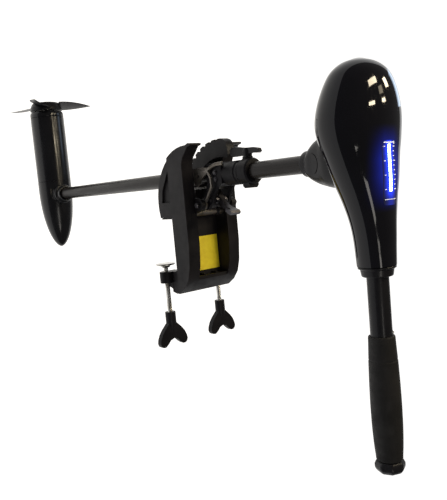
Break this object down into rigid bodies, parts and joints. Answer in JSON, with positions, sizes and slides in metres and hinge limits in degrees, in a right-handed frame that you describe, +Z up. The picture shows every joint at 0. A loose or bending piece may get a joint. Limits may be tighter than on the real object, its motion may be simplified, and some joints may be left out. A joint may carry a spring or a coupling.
{
  "type": "trolling motor",
  "caption": "Transom-mount electric trolling motor with a tilting clamp bracket, depth collar, tilting teardrop head and twist tiller over a bullet-shaped lower unit with a weedless propeller.",
  "frame": {"origin": "middle of the bracket's flat seat that rests on top of the boat's transom", "axes": "+Z up along the shaft, +Y aft towards the propeller (the tiller points to -Y), +X to starboard"},
  "size_m": [0.215, 0.692, 1.1555],
  "materials": {
    "black_plastic": "glass-filled nylon, fine moulded grain",
    "gloss_plastic": "polished black moulding",
    "prop_plastic": "semi-gloss black moulding",
    "tiller_plastic": "satin black tube",
    "black_paint": "satin-gloss black over cast and drawn aluminium",
    "shaft_composite": "dark warm-grey pultruded composite",
    "grip_rubber": "moulded rubber with fine texture",
    "rubber": "matt black",
    "steel": "zinc-plated and stainless steel",
    "cast_alloy": "tumbled die casting",
    "magnet": "dark laminated and sintered iron",
    "copper": "copper segments",
    "brass": "brass",
    "circuit": "green solder resist",
    "lens": "smoked clear window",
    "led": "bluish-white lit bar",
    "label": "plain yellow film"
  },
  "bodies": {
    "bracket": {"bracket_frame": "black_plastic", "tilt_sector": "black_plastic", "hinge_pin": "steel", "cross_bar": "cast_alloy", "cross_bar_nut": "steel", "jaw_pad_right": "rubber", "jaw_pad_left": "rubber", "caution_label": "label"},
    "clamp_pad_left": {"clamp_pad_left": "steel"},
    "clamp_screw_left": {"clamp_screw_left": "steel", "clamp_knob_left": "black_plastic"},
    "clamp_pad_right": {"clamp_pad_right": "steel"},
    "clamp_screw_right": {"clamp_screw_right": "steel", "clamp_knob_right": "black_plastic"},
    "swivel": {"swivel_body": "black_plastic", "upper_bushing": "rubber", "lower_bushing": "rubber", "swivel_bolt_aft": "steel", "swivel_bolt_front": "steel", "side_link": "cast_alloy", "lever_pin": "steel", "lever_spring": "steel"},
    "release_lever": {"release_lever": "cast_alloy"},
    "tilt_lock": {"lock_bar": "steel", "lock_strap": "steel"},
    "depth_collar": {"depth_collar": "black_plastic"},
    "collar_knob": {"collar_knob": "black_plastic"},
    "shaft": {"main_shaft": "shaft_composite", "control_cable": "rubber", "neck_yoke": "black_plastic", "nose_housing": "black_paint", "motor_tube": "black_paint", "rear_bell": "black_paint", "magnet_ring": "magnet", "brush_holder": "brass", "front_bearing": "steel", "rear_bearing": "steel", "shaft_seal": "rubber"},
    "propeller": {"motor_shaft": "steel", "armature": "magnet", "commutator": "copper", "propeller": "prop_plastic", "prop_pin": "steel", "prop_washer": "steel", "prop_nut": "black_plastic"},
    "head": {"head_base": "black_plastic", "head_cover": "gloss_plastic", "display_lens": "lens", "battery_meter": "led", "control_board": "circuit", "speed_switch": "black_plastic", "head_ring": "black_plastic", "neck_pin": "steel", "cable_gland": "rubber"},
    "tiller": {"tiller_tube": "tiller_plastic"},
    "grip": {"grip": "grip_rubber", "grip_cap": "black_plastic", "throttle_rod": "cast_alloy"},
    "snap_button": {"snap_button": "steel"}
  },
  "joints": [
    {"name": "clamp_travel_left", "type": "slide", "parent": "bracket", "child": "clamp_pad_left", "axis": [0, 1, 0], "range_m": [-0.007, 0.054]},
    {"name": "clamp_turn_left", "type": "hinge", "parent": "clamp_pad_left", "child": "clamp_screw_left", "pos_m": [-0.061, -0.09, -0.034], "axis": [0, 1, 0], "range_deg": [-1580, 12200]},
    {"name": "clamp_travel_right", "type": "slide", "parent": "bracket", "child": "clamp_pad_right", "axis": [0, 1, 0], "range_m": [-0.007, 0.054]},
    {"name": "clamp_turn_right", "type": "hinge", "parent": "clamp_pad_right", "child": "clamp_screw_right", "pos_m": [0.061, -0.09, -0.034], "axis": [0, 1, 0], "range_deg": [-1580, 12200]},
    {"name": "tilt", "type": "hinge", "parent": "bracket", "child": "swivel", "pos_m": [0, 0.061, 0.057], "axis": [1, 0, 0], "range_deg": [0, 90]},
    {"name": "tilt_release", "type": "hinge", "parent": "swivel", "child": "release_lever", "pos_m": [0, 0.068, 0.07], "axis": [1, 0, 0], "range_deg": [0, 16]},
    {"name": "tilt_lock_slide", "type": "slide", "parent": "swivel", "child": "tilt_lock", "axis": [0, 0, 1], "range_m": [0, 0.0054]},
    {"name": "steer", "type": "hinge", "parent": "swivel", "child": "depth_collar", "pos_m": [0, 0.112, 0.15], "axis": [0, 0, 1], "range_deg": [-180, 180]},
    {"name": "depth_knob_turn", "type": "hinge", "parent": "depth_collar", "child": "collar_knob", "pos_m": [0, 0.14, 0.1535], "axis": [0, 1, 0], "range_deg": [0, 90]},
    {"name": "depth", "type": "slide", "parent": "depth_collar", "child": "shaft", "axis": [0, 0, 1], "range_m": [-0.095, 0.35]},
    {"name": "propeller_spin", "type": "hinge", "parent": "shaft", "child": "propeller", "pos_m": [0, 0.341, -0.603], "axis": [0, 1, 0], "continuous": true},
    {"name": "head_tilt", "type": "hinge", "parent": "shaft", "child": "head", "pos_m": [0, 0.11, 0.324], "axis": [1, 0, 0], "range_deg": [-45, 0]},
    {"name": "tiller_telescope", "type": "slide", "parent": "head", "child": "tiller", "axis": [0, -1, 0], "range_m": [-0.06, 0.045]},
    {"name": "throttle_twist", "type": "hinge", "parent": "tiller", "child": "grip", "pos_m": [0, -0.24, 0.4028], "axis": [0, 1, 0], "range_deg": [-70, 110]},
    {"name": "snap_button_press", "type": "slide", "parent": "tiller", "child": "snap_button", "axis": [-0.7071, 0, -0.7071], "range_m": [0, 0.0025], "stiffness_N_per_m": 600}
  ],
  "couplings": [
    {"joint": "clamp_travel_left", "follows": "clamp_turn_left", "m_per_rad": 0.00025266},
    {"joint": "clamp_travel_right", "follows": "clamp_turn_right", "m_per_rad": 0.00025266},
    {"joint": "tilt_release", "follows": "tilt_lock_slide", "rad_per_m": 50.505}
  ]
}
